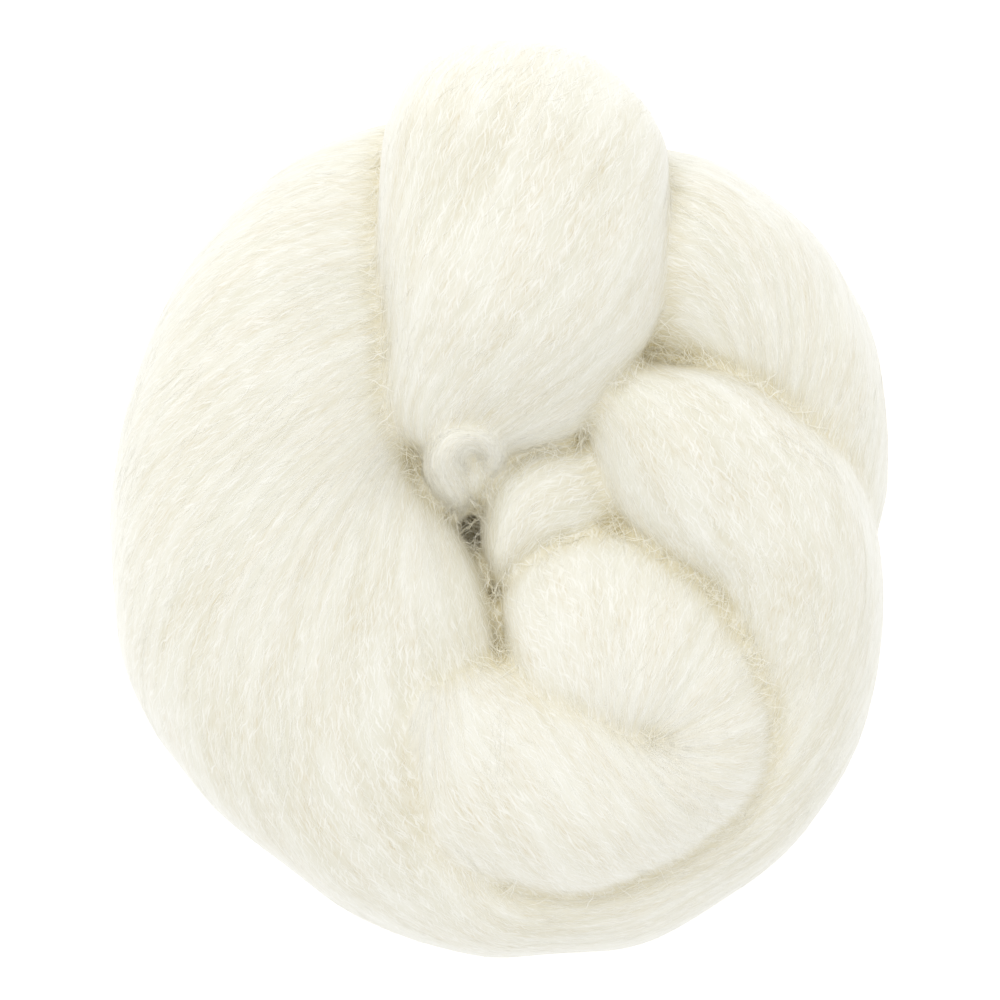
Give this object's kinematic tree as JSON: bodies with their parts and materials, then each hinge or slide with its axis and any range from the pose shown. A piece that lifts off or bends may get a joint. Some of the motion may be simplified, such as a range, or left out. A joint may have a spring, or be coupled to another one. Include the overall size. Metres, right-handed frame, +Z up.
{
  "type": "wool roving",
  "caption": "Loosely wound hank of thick unspun wool roving, lying flat, for spinning, felting and craft work.",
  "frame": {"origin": "middle of the hank's footprint, on the surface it lies on", "axes": "+Z up out of the surface, through the hank's thickness; +Y along its longest side, towards the end where the top turn comes over; +X to the right, seen from above"},
  "size_m": [0.1328, 0.1562, 0.052],
  "materials": {
    "wool": "soft matte natural cream wool, fine wavy fibres with a faint sheen"
  },
  "bodies": {
    "root": {"roving_hank": "wool"}
  },
  "joints": []
}
